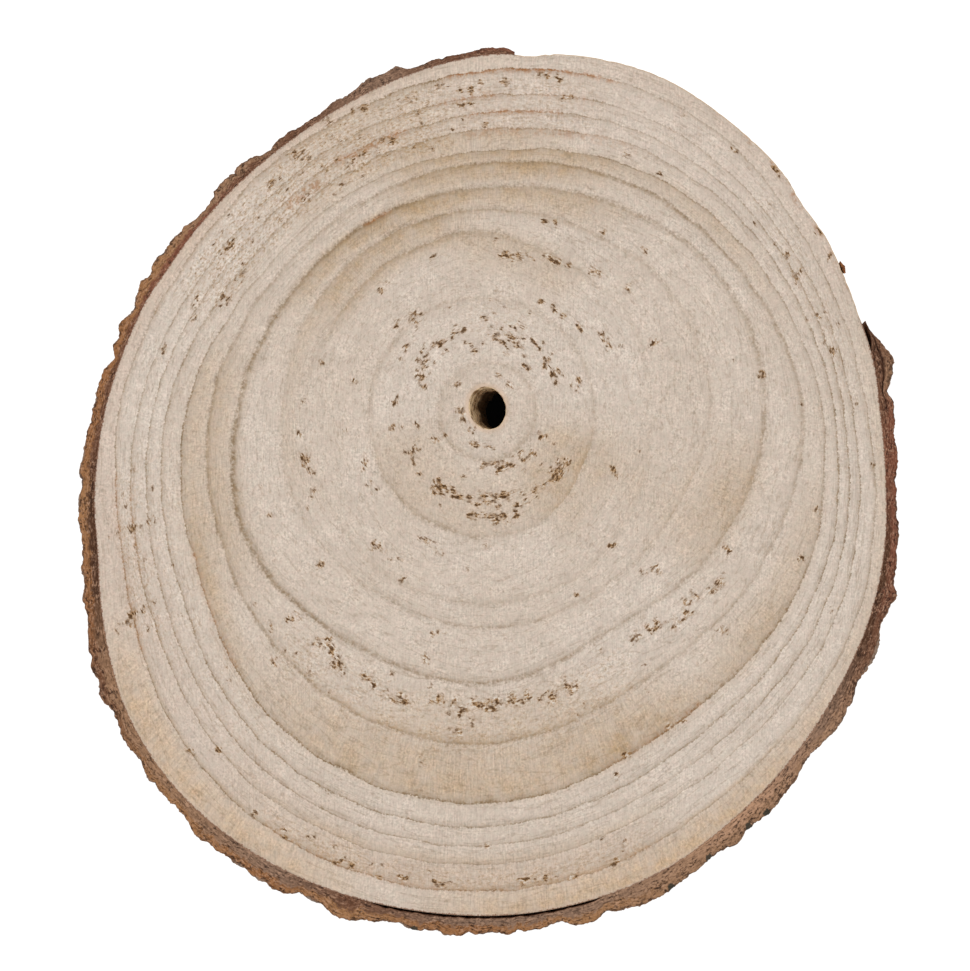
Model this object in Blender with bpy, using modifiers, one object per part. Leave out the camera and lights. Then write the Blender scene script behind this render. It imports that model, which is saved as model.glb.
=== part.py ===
# Wood slice: a disc sawn across a trunk of pale, ring-porous wood.
# It has a leaning hollow pith, a band of thin brown bark round most of its rim,
# and one flake of bark left on the bare stretch.
# Metres, +Z up. The disc lies on its lower sawn face, with the origin on that
# face under the middle of the outline.

import math

import bmesh
import bpy
from mathutils import Vector, noise

MM = 0.001

# Driving dimensions
THICKNESS = 30 * MM
BARK_SEAT_GAP = 0.3 * MM
PITH_WIDTH = 12.8 * MM
PITH_LENGTH = 15.2 * MM
PITH_TURN = math.radians(18)
PITH_LEAN = math.radians(12)
PITH_LEAN_TOWARDS = math.radians(-15)
RIM_EDGE = 0.5 * MM
RIM_POINTS = 240

# The wood's rim: angle in degrees from +X round the pith, radius in mm
WOOD_RIM = [
    (0, 141.2), (5, 140.4), (10, 139.0), (14, 137.7), (21, 136.8), (27, 136.4),
    (33, 134.9), (38, 135.9), (50, 135.0), (62, 134.5), (70, 132.6), (80, 129.3),
    (83, 127.4), (88, 127.6), (100, 124.2), (110, 121.6), (120, 119.9), (130, 119.7),
    (140, 121.0), (150, 123.4), (160, 126.8), (170, 130.9), (180, 136.4), (190, 142.2),
    (200, 149.2), (210, 159.2), (220, 169.6), (230, 176.6), (240, 180.3), (250, 182.1),
    (262, 182.6), (275, 182.2), (290, 178.4), (300, 172.9), (310, 167.6), (320, 162.3),
    (330, 157.6), (340, 152.0), (350, 145.6),
]

# The bark's thickness in mm, at the angles where its plates swell or break off
BARK_THICKNESS = [
    (85.2, 0.7), (87.2, 2.1), (91, 2.3), (93, 1.7), (99, 2.2), (103, 2.1),
    (105, 4.4), (107, 3.9), (110, 4.2), (113, 2.4), (117.5, 3.4), (120, 2.1),
    (127.5, 2.8), (130.5, 2.1), (135, 4.2), (141.5, 4.1), (143.3, 2.4), (147.5, 2.3),
    (149.3, 4.2), (157, 5.0), (158, 4.2), (159.3, 5.5), (164, 5.2), (165, 4.2),
    (166, 5.7), (171, 5.2), (172, 4.0), (173.5, 5.9), (180, 5.5), (185, 6.2),
    (190.4, 6.2), (191.2, 4.6), (192.5, 6.7), (195.5, 6.3), (196.3, 4.9), (198, 6.3),
    (202.5, 5.5), (205, 6.2), (207.3, 5.0), (212.5, 7.5), (216.5, 7.3), (218.3, 5.6),
    (220.3, 3.5), (222.3, 5.8), (226, 3.9), (228.3, 4.9), (233, 4.2), (235, 6.1),
    (240, 6.1), (244, 7.0), (247.5, 6.4), (248.8, 5.1), (254, 8.0), (258, 7.3),
    (259.8, 5.0), (261.5, 6.9), (266, 7.3), (269.3, 6.6), (270.7, 5.0), (272.5, 6.4),
    (278, 5.5), (282, 7.5), (283.2, 5.7), (284.7, 7.4), (290, 7.5), (292, 6.3),
    (298, 5.6), (300, 8.1), (301.2, 6.0), (305, 7.1), (309, 6.2), (312.5, 4.3),
    (319, 6.9), (320, 5.7), (321, 6.5), (323, 5.0), (327.5, 6.8), (329.4, 6.7),
    (331, 4.5), (333.5, 6.0), (335.7, 7.7), (336.8, 5.2), (342, 4.3), (348.5, 4.7),
    (349.7, 3.7), (353, 5.0), (356.3, 3.9), (358.5, 5.3), (361, 6.0), (362.2, 4.1),
    (364.5, 5.8), (367, 7.0), (369, 4.8), (371, 2.9), (373.2, 0.8),
]

# How far the bark has dried away from the wood, in mm beyond its seat
BARK_PEEL = [
    (85.2, 0.0), (225, 0.0), (245, 0.5), (275, 0.6), (295, 0.1), (320, 0.5),
    (352, 0.5), (366, 0.8), (373.2, 1.2),
]
BARK_STEPS = 424
BARK_STEP_SLACK = 0.01
BARK_LEVELS = [0.0, 1.4, 5.0, 9.5, 14.0, 18.5, 23.5, 28.6, 30.0]

# The plates of the bark and the furrows between them
PLATE_WIDTH = 12 * MM
PLATE_HEIGHT = 24 * MM
PLATE_SWELL = 0.55 * MM
WANDER_ANGLE = 9.0
WANDER_WAVES = 3.0
FURROW_DEPTH = 2.4 * MM
FURROW_SHARE = 0.34
FURROW_SWAY = 0.5
RIPPLE_LENGTH = 5 * MM
RIPPLE_DEPTH = 0.4 * MM
CORNER_LOSS = 0.3 * MM
CORNER_SPREAD = 0.4 * MM
CORNER_HEIGHT = 0.5 * MM
BARK_LEAST = 0.45 * MM
BARK_FULL = 5 * MM

# The flake of bark left on the bare stretch
FLAKE_ANGLE = 21.6
FLAKE_WIDTH = 4.8 * MM
FLAKE_THICKNESS = 1.3 * MM
FLAKE_BOTTOM = 9 * MM
FLAKE_TOP = 29.6 * MM
FLAKE_FOOT_SHARE = 0.35
FLAKE_SIDE_LOSS = 0.55
FLAKE_FOOT_LOSS = 0.3

# Finishes: linear colour and roughness
PALE_WOOD = ((0.58, 0.47, 0.37), 0.7)
BROWN_BARK = ((0.15, 0.075, 0.045), 0.85)
FLAKE_BARK = ((0.20, 0.10, 0.055), 0.85)
SMOOTH_UP_TO = math.radians(35)


def curve_through(pairs, x):
    # Smooth cubic through the pairs, with each slope taken from its neighbours
    last = len(pairs) - 1
    index = 0
    while index < last - 1 and x > pairs[index + 1][0]:
        index += 1
    x0, y0 = pairs[max(index - 1, 0)]
    x1, y1 = pairs[index]
    x2, y2 = pairs[index + 1]
    x3, y3 = pairs[min(index + 2, last)]
    span = x2 - x1
    slope1 = (y2 - y0) / (x2 - x0)
    slope2 = (y3 - y1) / (x3 - x1)
    t = (x - x1) / span
    rise = (2 * t + 1) * (1 - t) ** 2 * y1 + t * t * (3 - 2 * t) * y2
    bend = t * (1 - t) ** 2 * span * slope1 - t * t * (1 - t) * span * slope2
    return rise + bend


def eased_between(pairs, x):
    # Straight stretches with rounded ends, so a broken plate keeps its step
    for (x1, y1), (x2, y2) in zip(pairs, pairs[1:]):
        if x <= x2:
            t = min(max((x - x1) / (x2 - x1), 0.0), 1.0)
            return y1 + (y2 - y1) * t * t * (3 - 2 * t)
    return pairs[-1][1]


def wood_radius(angle):
    # Radius of the wood's rim in metres, at an angle in degrees
    turn = [(a - 360, r) for a, r in WOOD_RIM[-2:]]
    turn += WOOD_RIM
    turn += [(a + 360, r) for a, r in WOOD_RIM[:2]]
    return curve_through(turn, angle % 360) * MM


def bark_inside(angle):
    return wood_radius(angle) + BARK_SEAT_GAP + eased_between(BARK_PEEL, angle) * MM


def plate_thickness(angle, height):
    # The plates wander sideways as they run down, and never stand past the upper outline
    drop = 1 - height / THICKNESS
    wave = noise.noise(Vector((math.radians(angle) * WANDER_WAVES, drop, 6.0)))
    lower = eased_between(BARK_THICKNESS, angle + WANDER_ANGLE * drop * wave)
    return min(eased_between(BARK_THICKNESS, angle), lower) * MM


def furrow(angle, radius, height):
    # Cracks that run up the trunk between long plates, 0 on a plate and 1 in a crack
    along = math.radians(angle) * radius / PLATE_WIDTH
    up = height / PLATE_HEIGHT
    sway = FURROW_SWAY * noise.noise(Vector((along, up, 4.0)))
    place = Vector((along + sway, up, 0.0))
    nearest, second = noise.voronoi(place)[0][:2]
    depth = 1 - min((second - nearest) / FURROW_SHARE, 1.0)
    return depth * depth


def bark_outside(angle, height):
    inside = bark_inside(angle)
    thickness = wood_radius(angle) + plate_thickness(angle, height) - inside
    thickness = max(thickness, BARK_LEAST)
    share = min(thickness / BARK_FULL, 1.0)
    cut = FURROW_DEPTH * furrow(angle, inside, height)
    along = math.radians(angle) * inside / RIPPLE_LENGTH
    ripple = RIPPLE_DEPTH * noise.noise(Vector((along, height / RIPPLE_LENGTH, 9.0)))
    worn = 0.0
    if min(height, THICKNESS - height) < CORNER_HEIGHT:
        worn = CORNER_LOSS + CORNER_SPREAD * noise.noise(Vector((along, 2.0, 3.0)))
    loss = share * (cut + ripple + worn - PLATE_SWELL)
    return inside + max(thickness - loss, BARK_LEAST)


def principled(name, finish):
    colour, roughness = finish
    material = bpy.data.materials.new(name)
    material.use_nodes = True
    shader = material.node_tree.nodes["Principled BSDF"]
    shader.inputs["Base Color"].default_value = (*colour, 1.0)
    shader.inputs["Roughness"].default_value = roughness
    shader.inputs["Metallic"].default_value = 0.0
    return material


def collection(name):
    group = bpy.data.collections.new(name)
    bpy.context.scene.collection.children.link(group)
    return group


def mesh_from_curve(curve_object, name, group):
    # A real mesh of a filled curve, with the curve's loose caps welded on
    graph = bpy.context.evaluated_depsgraph_get()
    mesh = bpy.data.meshes.new_from_object(curve_object.evaluated_get(graph))
    shape = bmesh.new()
    shape.from_mesh(mesh)
    bmesh.ops.remove_doubles(shape, verts=shape.verts, dist=0.00001)
    bmesh.ops.recalc_face_normals(shape, faces=shape.faces)
    shape.to_mesh(mesh)
    shape.free()
    solid = bpy.data.objects.new(name, mesh)
    solid.matrix_world = curve_object.matrix_world
    group.objects.link(solid)
    bpy.data.objects.remove(curve_object)
    return solid


def make_wood(group, cutters):
    # The disc is its outline drawn flat and given the thickness, less the pith channel
    outline = bpy.data.curves.new("wood_outline", "CURVE")
    outline.dimensions = "2D"
    outline.fill_mode = "BOTH"
    outline.extrude = THICKNESS / 2
    spline = outline.splines.new("POLY")
    spline.points.add(RIM_POINTS - 1)
    for index, point in enumerate(spline.points):
        angle = 360 * index / RIM_POINTS
        radius = wood_radius(angle)
        turn = math.radians(angle)
        point.co = (radius * math.cos(turn), radius * math.sin(turn), 0.0, 1.0)
    spline.use_cyclic_u = True
    drawn = bpy.data.objects.new("wood_outline", outline)
    drawn.location = (0.0, 0.0, THICKNESS / 2)
    group.objects.link(drawn)
    bpy.context.view_layer.update()
    wood = mesh_from_curve(drawn, "wood", group)

    channel = wood.modifiers.new("pith_channel", "BOOLEAN")
    channel.operation = "DIFFERENCE"
    channel.object = make_pith_cutter(cutters)
    edge = wood.modifiers.new("sawn_edge", "BEVEL")
    edge.width = RIM_EDGE
    edge.segments = 1
    edge.limit_method = "ANGLE"
    edge.angle_limit = math.radians(60)
    wood.data.materials.append(principled("pale_wood", PALE_WOOD))
    return wood


def make_pith_cutter(cutters):
    # An oval rod that leans as it goes down, so its far wall shows from above
    reach = 3 * THICKNESS
    shape = bmesh.new()
    bmesh.ops.create_cone(
        shape, cap_ends=True, segments=32, radius1=0.5, radius2=0.5, depth=reach)
    for vert in shape.verts:
        x = vert.co.x * PITH_WIDTH
        y = vert.co.y * PITH_LENGTH
        drift = -vert.co.z * math.tan(PITH_LEAN)
        vert.co.x = x * math.cos(PITH_TURN) - y * math.sin(PITH_TURN)
        vert.co.y = x * math.sin(PITH_TURN) + y * math.cos(PITH_TURN)
        vert.co.x += drift * math.cos(PITH_LEAN_TOWARDS)
        vert.co.y += drift * math.sin(PITH_LEAN_TOWARDS)
    mesh = bpy.data.meshes.new("pith_cutter")
    shape.to_mesh(mesh)
    shape.free()
    cutter = bpy.data.objects.new("pith_cutter", mesh)
    cutter.location = (0.0, 0.0, THICKNESS)
    cutter.hide_render = True
    cutter.display_type = "WIRE"
    cutters.objects.link(cutter)
    return cutter


def make_bark(group):
    # The band's section is spun round the pith, then each point is moved out to its
    # real radius: 1 stands for the inside face and 2 for the outside face
    start = BARK_THICKNESS[0][0]
    sweep = BARK_THICKNESS[-1][0] - start
    first = math.radians(start)
    shape = bmesh.new()
    section = [(1.0, 0.0), (1.0, THICKNESS)]
    section += [(2.0, level * MM) for level in reversed(BARK_LEVELS)]
    corners = []
    for radius, height in section:
        place = (radius * math.cos(first), radius * math.sin(first), height)
        corners.append(shape.verts.new(place))
    face = shape.faces.new(corners)
    bmesh.ops.spin(
        shape, geom=[face, *face.edges, *face.verts], cent=(0, 0, 0), axis=(0, 0, 1),
        angle=math.radians(sweep), steps=BARK_STEPS, use_merge=False, use_duplicate=False)
    for vert in shape.verts:
        turn = math.atan2(vert.co.y, vert.co.x)
        past_start = (math.degrees(turn) - start + BARK_STEP_SLACK) % 360 - BARK_STEP_SLACK
        angle = start + past_start
        is_outside = vert.co.xy.length > 1.5
        radius = bark_outside(angle, vert.co.z) if is_outside else bark_inside(angle)
        vert.co.x = radius * math.cos(turn)
        vert.co.y = radius * math.sin(turn)
    bmesh.ops.recalc_face_normals(shape, faces=shape.faces)
    mesh = bpy.data.meshes.new("bark")
    shape.to_mesh(mesh)
    shape.free()
    bark = bpy.data.objects.new("bark", mesh)
    group.objects.link(bark)
    bark.data.materials.append(principled("brown_bark", BROWN_BARK))
    return bark


def make_flake(group):
    # A thin scale, pointed at its foot, that lies against the bare rim
    bpy.ops.mesh.primitive_cube_add(size=1.0)
    flake = bpy.context.object
    flake.name = "bark_flake"
    flake.data.name = "bark_flake"
    shape = bmesh.new()
    shape.from_mesh(flake.data)
    bmesh.ops.subdivide_edges(shape, edges=shape.edges, cuts=3, use_grid_fill=True)
    for vert in shape.verts:
        out, side, up = vert.co
        rise = up + 0.5
        width = FLAKE_WIDTH * (FLAKE_FOOT_SHARE + (1 - FLAKE_FOOT_SHARE) * rise)
        loss = FLAKE_SIDE_LOSS * 2 * abs(side) + FLAKE_FOOT_LOSS * (1 - rise)
        angle = FLAKE_ANGLE + math.degrees(side * width / wood_radius(FLAKE_ANGLE))
        radius = wood_radius(angle) + BARK_SEAT_GAP + (out + 0.5) * FLAKE_THICKNESS * (1 - loss)
        turn = math.radians(angle)
        z = FLAKE_BOTTOM + (FLAKE_TOP - FLAKE_BOTTOM) * rise
        vert.co = (radius * math.cos(turn), radius * math.sin(turn), z)
    bmesh.ops.recalc_face_normals(shape, faces=shape.faces)
    shape.to_mesh(flake.data)
    shape.free()
    for owner in flake.users_collection:
        owner.objects.unlink(flake)
    group.objects.link(flake)
    flake.data.materials.append(principled("bark_flake", FLAKE_BARK))
    return flake


def centre_on_origin(pieces, cutters):
    # The pith stood at the origin so far; now the middle of the outline does
    bpy.context.view_layer.update()
    corners = [Vector(vert.co) for piece in pieces for vert in piece.data.vertices]
    shift = Vector((0.0, 0.0, 0.0))
    for axis in (0, 1):
        values = [corner[axis] for corner in corners]
        shift[axis] = -(min(values) + max(values)) / 2
    for thing in [*pieces, *cutters.objects]:
        thing.location += shift


def main():
    for thing in list(bpy.data.objects):
        bpy.data.objects.remove(thing)
    group = collection("wood_slice")
    cutters = collection("cutters")
    wood = make_wood(group, cutters)
    bark = make_bark(group)
    flake = make_flake(group)
    centre_on_origin([wood, bark, flake], cutters)
    for piece in (wood, bark, flake):
        piece.data.shade_smooth()
        piece.data.set_sharp_from_angle(angle=SMOOTH_UP_TO)


main()
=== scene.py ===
import math
import random
from functools import partial

import bpy
import numpy as np
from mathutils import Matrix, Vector, noise


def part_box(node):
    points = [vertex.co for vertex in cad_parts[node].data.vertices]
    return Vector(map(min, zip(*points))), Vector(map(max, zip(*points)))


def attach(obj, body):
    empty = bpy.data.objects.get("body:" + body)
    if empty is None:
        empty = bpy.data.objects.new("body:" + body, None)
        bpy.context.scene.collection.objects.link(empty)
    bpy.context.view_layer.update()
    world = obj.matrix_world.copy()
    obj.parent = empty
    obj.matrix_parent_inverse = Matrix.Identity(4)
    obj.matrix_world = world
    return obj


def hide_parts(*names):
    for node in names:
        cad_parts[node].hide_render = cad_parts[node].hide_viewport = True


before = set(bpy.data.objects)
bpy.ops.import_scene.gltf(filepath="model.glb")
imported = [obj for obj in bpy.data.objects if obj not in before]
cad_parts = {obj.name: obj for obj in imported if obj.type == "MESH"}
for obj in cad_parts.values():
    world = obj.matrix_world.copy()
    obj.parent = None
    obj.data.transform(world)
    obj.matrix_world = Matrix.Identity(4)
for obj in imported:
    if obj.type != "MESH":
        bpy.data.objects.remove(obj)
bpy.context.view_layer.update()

mm = 0.001
scene = bpy.context.scene

# how the slice lies in the photo's frame
photoFrame = {
    "width": 970,               # pixels
    "height": 971,
    "middle": (488.5, 491.8),   # pixel under the middle of the slice
    "pith": (487, 408),         # pixel under the hollow pith
    "mmPerPixel": 0.3595,
    "cameraAbove": 1500,        # mm over the sawn face, far off as for a product photo
    "sensor": 36,
    "clipEnd": 20,              # m
}

studio = {
    "roomLight": 0.74,          # even light from all round
    # soft boxes: place and size in m, and watts. The second, upper left, gives the bark relief.
    "softBoxes": {"overhead": ((0, 0, 1.4), 1.6, 5.4), "side": ((-1.0, 0.9, 0.9), 0.7, 2.6)},
    "floorSize": 6,             # m
    "floorDrop": 0.2,           # mm under the slice, so that the two don't share a plane
    "shadeRadius": 60,          # mm, the floor under the slice, seen only through the pith, is painted near black as shade
    "glowRadius": 100,
    "shadeTone": 0.01,
    "floorTone": 0.4,
    "floorGlow": 0.84,
}


def linear(hexCode):
    parts = [int(hexCode[place:place + 2], 16) / 255 for place in (1, 3, 5)]
    return [part / 12.92 if part <= 0.04045 else ((part + 0.055) / 1.055) ** 2.4 for part in parts] + [1]


def addNode(tree, kind, inputs=(), stops=(), **settings):
    # one node with its settings, its values and what is linked into it, by socket or in their order
    node = tree.nodes.new("ShaderNode" + kind)
    for name, value in settings.items():
        setattr(node, name, value)
    for socket, value in inputs.items() if isinstance(inputs, dict) else enumerate(inputs):
        if isinstance(value, bpy.types.NodeSocket):
            tree.links.new(value, node.inputs[socket])
        else:
            node.inputs[socket].default_value = value
    if stops:
        ramp = node.color_ramp.elements
        while len(ramp) < len(stops):
            ramp.new(1)
        for element, (place, colour) in zip(ramp, stops):
            element.position = place
            element.color = colour
    return node.outputs


def startMaterial(name, tones):
    # an empty material, what adds a node to it, each point's place in mm and the linear tones
    material = bpy.data.materials.new(name)
    material.use_nodes = True
    material.node_tree.nodes.clear()
    add = partial(addNode, material.node_tree)
    inMm = add("VectorMath", {0: add("TexCoord")["Object"], "Scale": 1 / mm}, operation="SCALE")[0]
    return material, add, inMm, {name: linear(hexCode) for name, hexCode in tones.items()}


def addNoises(add, place, noises):
    # a noise for each size in mm, detail and roughness
    made = {}
    for name, (size, detail, rough) in noises.items():
        sockets = {"Vector": place, "Scale": 1 / size, "Detail": detail, "Roughness": rough}
        made[name] = add("TexNoise", sockets)["Fac"]
    return made


def fibreNoise(add, inMm, width, length, detail, rough):
    # noise drawn out along the trunk
    place = add("Mapping", {"Vector": inMm, "Scale": (1 / width, 1 / width, 1 / length)})[0]
    return addNoises(add, place, {"fibres": (1, detail, rough)})["fibres"]


def layColours(add, colour, layers):
    # tones laid over a colour, each as strongly as the product of its factors
    for factors, laid in layers:
        cover = factors[0]
        for factor in factors[1:]:
            cover = add("Math", (cover, factor), operation="MULTIPLY")[0]
        colour = add("Mix", {0: cover, 6: colour, 7: laid}, data_type="RGBA")[2]
    return colour


def finishMaterial(add, colour, relief, bump, dullness, shine):
    strength, depth = bump
    normal = add("Bump", {"Height": relief, "Strength": strength, "Distance": depth * mm})[0]
    shader = add("BsdfPrincipled", {"Base Color": colour, "Roughness": dullness, "Normal": normal,
                                    "Specular IOR Level": shine})[0]
    add("OutputMaterial", {"Surface": shader})


# Numbers round the slice. Angles are in degrees about the pith, counter-clockwise from +X.

def aroundRing(values, angles):
    # smooth closed curve through values that are spread evenly round the pith
    values = np.array(values, float)
    count = len(values)
    place = np.asarray(angles) / 360 * count
    start = np.floor(place).astype(int)
    share = place - start
    before, here, there, after = (values[(start + step) % count] for step in (-1, 0, 1, 2))
    bend = 2 * before - 5 * here + 4 * there - after + share * (3 * (here - there) + after - before)
    return here + 0.5 * share * (there - before + share * bend)


def turnBetween(angles, middle):
    return (np.asarray(angles) - middle + 180) % 360 - 180


def eased(values):
    clipped = np.clip(values, 0, 1)
    return clipped * clipped * (3 - 2 * clipped)


def softPatch(angles, phases, patch, angleFade=9, phaseFade=0.35):
    # one where a patch between two angles and two rings covers a point, eased to nothing at its edges
    fromAngle, toAngle, fromPhase, toPhase, strength = patch
    middle = (fromAngle + toAngle) / 2
    half = (toAngle - fromAngle) / 2
    inAngle = eased((half - np.abs(turnBetween(angles, middle))) / angleFade + 0.5)
    phaseMiddle = (fromPhase + toPhase) / 2
    phaseHalf = (toPhase - fromPhase) / 2
    inPhase = eased((phaseHalf - np.abs(phases - phaseMiddle)) / phaseFade + 0.5)
    return strength * inAngle * inPhase


def roughness(points, size, octaves=3):
    # noise between about -1 and 1 with features of the given size, in the points' own unit
    return np.array([noise.fractal(Vector(point) / size, 1, 2, octaves) for point in points])


def sheetBlank(name, rows, stations):
    # a flat sheet of points, a row for each line of the section, to be rolled round the pith afterwards
    bpy.ops.object.select_all(action="DESELECT")
    bpy.ops.mesh.primitive_grid_add(x_subdivisions=stations, y_subdivisions=rows - 1, size=1)
    blank = bpy.context.object
    blank.name = name
    return blank


def readPoints(mesh):
    points = np.zeros(len(mesh.vertices) * 3)
    mesh.vertices.foreach_get("co", points)
    return points.reshape(-1, 3)


def writePoints(mesh, points):
    mesh.vertices.foreach_set("co", np.asarray(points, np.float32).ravel())
    mesh.update()


def readField(mesh, name):
    values = np.zeros(len(mesh.vertices))
    mesh.attributes[name].data.foreach_get("value", values)
    return values


def writeField(mesh, name, values):
    layer = mesh.attributes.get(name) or mesh.attributes.new(name, "FLOAT", "POINT")
    layer.data.foreach_set("value", np.asarray(values, np.float32))


def blankPlaces(mesh, rows, stations):
    # for each point of a sheet, its row in the section and its station round the pith
    points = readPoints(mesh)
    across, down = points[:, :2].T + 0.5
    return np.rint(down * (rows - 1)).astype(int), np.rint(across * stations).astype(int)


farOut = 400    # mm, well outside the slice


def castRadius(node, angle, height, inward, centre=None):
    # distance in mm from the pith to a CAD node, met from outside or from the pith
    x, y = pithAt if centre is None else centre
    middle = Vector((x, y, height)) * mm
    way = Vector((math.cos(math.radians(angle)), math.sin(math.radians(angle)), 0))
    start = middle + way * (farOut * mm if inward else 0)
    found, place, normal, face = node.ray_cast(start, -way if inward else way)
    return (place - middle).length / mm if found else None


def castProfile(node, angles, height, inward, centre=None):
    met = [castRadius(node, angle, height, inward, centre) for angle in angles]
    known = [index for index, value in enumerate(met) if value is not None]
    return np.interp(range(len(angles)), known, [met[index] for index in known])


def pickOnly(piece):
    bpy.ops.object.select_all(action="DESELECT")
    piece.select_set(True)
    bpy.context.view_layer.objects.active = piece


def finishPiece(piece, node, material, sharpAngle):
    pickOnly(piece)
    bpy.ops.object.shade_smooth_by_angle(angle=math.radians(sharpAngle))
    piece.data.materials.clear()
    piece.data.materials.append(material)
    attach(piece, "root")
    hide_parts(node)
    print(f"{piece.name}: {sum(len(face.vertices) - 2 for face in piece.data.polygons)} triangles")


def closeSeams(piece, distance):
    pickOnly(piece)
    bpy.ops.object.mode_set(mode="EDIT")
    bpy.ops.mesh.select_all(action="SELECT")
    bpy.ops.mesh.remove_doubles(threshold=distance * mm)
    bpy.ops.mesh.normals_make_consistent(inside=False)
    bpy.ops.object.mode_set(mode="OBJECT")


# The wood

thickness = (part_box("wood")[1][2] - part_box("wood")[0][2]) / mm
pithAt = (-0.4, 30.1)

disc = {
    "sectors": 540,
    "edgeRound": 0.5,                 # mm, the sawn edge worn round
    "barkedEdge": 0.1,                # and where the bark still covers it
    "bare": (13.5, 85.6),             # degrees, the stretch of rim with no bark
    "fuller": [(160, 197, 1.0)],      # degrees and mm, where the rim swells
    "rimNicks": 0.45,                 # mm, fibres broken out of the edge
    "pithLean": 12,                   # degrees, as the hollow pith leans in the solid
    "pithLeansTowards": -15,
    "holeSteps": [0, 0.3, 4, 9, 14, 19, 24, 28],
    "sideSteps": [0, 0.15, 0.5, 4, 9, 15, 21, 26],
    "undersideRings": [11.6, 11, 9, 7, 5.5, 4, 2.6, 1.6, 1, 0.5],
    "rimSteps": 7,                    # mesh loops from the last ring to the rim
    "edgeSteps": (0.5, 0.15, 0),      # mm from the face, where the mesh turns the edge
    "ringGap": 1.5,                   # mm that rings stay apart near the rim
    "edgeBold": (0.55, 0.15),         # how boldly the pith's edge and the rim are drawn
    "wallGrip": 0.6,                  # mm from either face, where the wall is still met
    "wallRough": (0.12, 0.9, 12),     # mm at the top, mm more deep down, and how deep
    "wallNoise": (6, 0.3, 3),         # mm round the wall, stretch down it, and mm of its bumps
    "rimNoise": (140, 0.25, 2.6),
    "seam": 0.01,                     # mm within which points are one
    "sharp": 40,                      # degrees past which an edge stays sharp
}

# Growth rings that the eye picks out, from the pith outwards, in mm from its middle, with how
# boldly each is drawn. Both lists are spread evenly round the pith. Steps are the mesh loops
# that lead up to each ring.
rings = {
    "first": {
        "steps": 14,
        "radii": [17.3, 17.3, 16.9, 16.6, 16.6, 16.6, 17.3, 18, 18.4, 18.7, 18, 17.6],
        "bold": [0.25, 0.2, 0.2, 0.2, 0.2, 0.2, 0.25, 0.3, 0.3, 0.3, 0.3, 0.3],
    },
    "second": {
        "steps": 20,
        "radii": [38.5, 38.5, 38.9, 39.6, 40.3, 41, 42.5, 43.9, 45.4, 46.1, 44.6, 40.3],
        "bold": [0.2, 0.2, 0.2, 0.2, 0.2, 0.2, 0.2, 0.3, 0.4, 0.3, 0.2, 0.2],
    },
    "third": {
        "steps": 11,
        "radii": [57.6, 61.2, 59.4, 63, 63, 63, 66.6, 66.6, 70.2, 70.2, 68.4, 63],
        "bold": [0.1, 0.1, 0.15, 0.3, 0.35, 0.2, 0.1, 0.1, 0.15, 0.2, 0.15, 0.1],
    },
    "fourth": {
        "steps": 5,
        "radii": [79.9, 78.5, 73.8, 71.3, 71.3, 72, 73.4, 76.7, 77, 78.5, 76.7, 76.7],
        "bold": [0.15, 0.2, 0.25, 0.35, 0.4, 0.25, 0.15, 0.2, 0.25, 0.35, 0.2, 0.2],
    },
    "fifth": {
        "steps": 7,
        "radii": [99.7, 96.1, 86, 79.2, 78.8, 81.4, 89.6, 98.6, 97.2, 98.6, 91.1, 96.5],
        "bold": [0.45, 0.35, 0.45, 0.4, 0.8, 0.6, 0.7, 0.8, 0.6, 0.5, 0.4, 0.3],
    },
    "sixth": {
        "steps": 6,
        "radii": [113, 103.3, 95, 88.2, 86.4, 89.6, 99.4, 108, 117.7, 120.6, 112.7, 113.4],
        "bold": [0.4, 0.5, 0.6, 0.5, 0.4, 0.3, 0.5, 0.5, 0.5, 0.4, 0.3, 0.3],
    },
    "seventh": {
        "steps": 5,
        "radii": [119.9, 109.8, 100.8, 92.2, 91.4, 94.3, 108, 119.5, 137.5, 141.8, 132.1, 128.9],
        "bold": [0.5, 0.5, 0.7, 0.6, 0.4, 0.35, 0.8, 0.8, 1, 0.9, 1, 0.7],
    },
    "eighth": {
        "steps": 4,
        "radii": [124.3, 115, 108.1, 100, 98.2, 100.9, 114.7, 127.9, 146.3, 150.3, 140.6, 135.3],
        "bold": [0.7, 0.5, 0.4, 0.6, 0.5, 0.5, 0.6, 0.7, 0.8, 0.6, 0.6, 0.7],
    },
    "ninth": {
        "steps": 4,
        "radii": [127.7, 119.1, 113.8, 106, 103.5, 106.1, 119.8, 134.4, 153.2, 157, 147.2, 140.4],
        "bold": [0.7, 0.6, 0.4, 0.8, 0.6, 0.5, 0.6, 0.6, 0.6, 0.5, 0.5, 0.7],
    },
    "tenth": {
        "steps": 4,
        "radii": [131, 123.2, 119.4, 112.2, 108.7, 111.2, 124.9, 140.6, 160.1, 163.7, 153.6, 145.5],
        "bold": [0.7, 0.5, 0.4, 0.6, 0.6, 0.5, 0.6, 0.8, 0.5, 0.4, 0.4, 0.6],
    },
    "last": {
        "steps": 5,
        "radii": [
            136, 131.5, 129.2, 129.5, 127.8, 125, 121, 118.4, 116.6, 117, 118.8, 124.6,
            132, 137.5, 147, 160.5, 169, 173, 173.5, 170, 163.4, 158, 152.6, 144,
        ],
        "bold": [0.5, 0.5, 0.4, 1, 0.6, 0.5, 0.5, 0.9, 0.8, 0.7, 0.4, 0.4],
    },
}
rimPhase = len(rings) + 1

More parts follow.
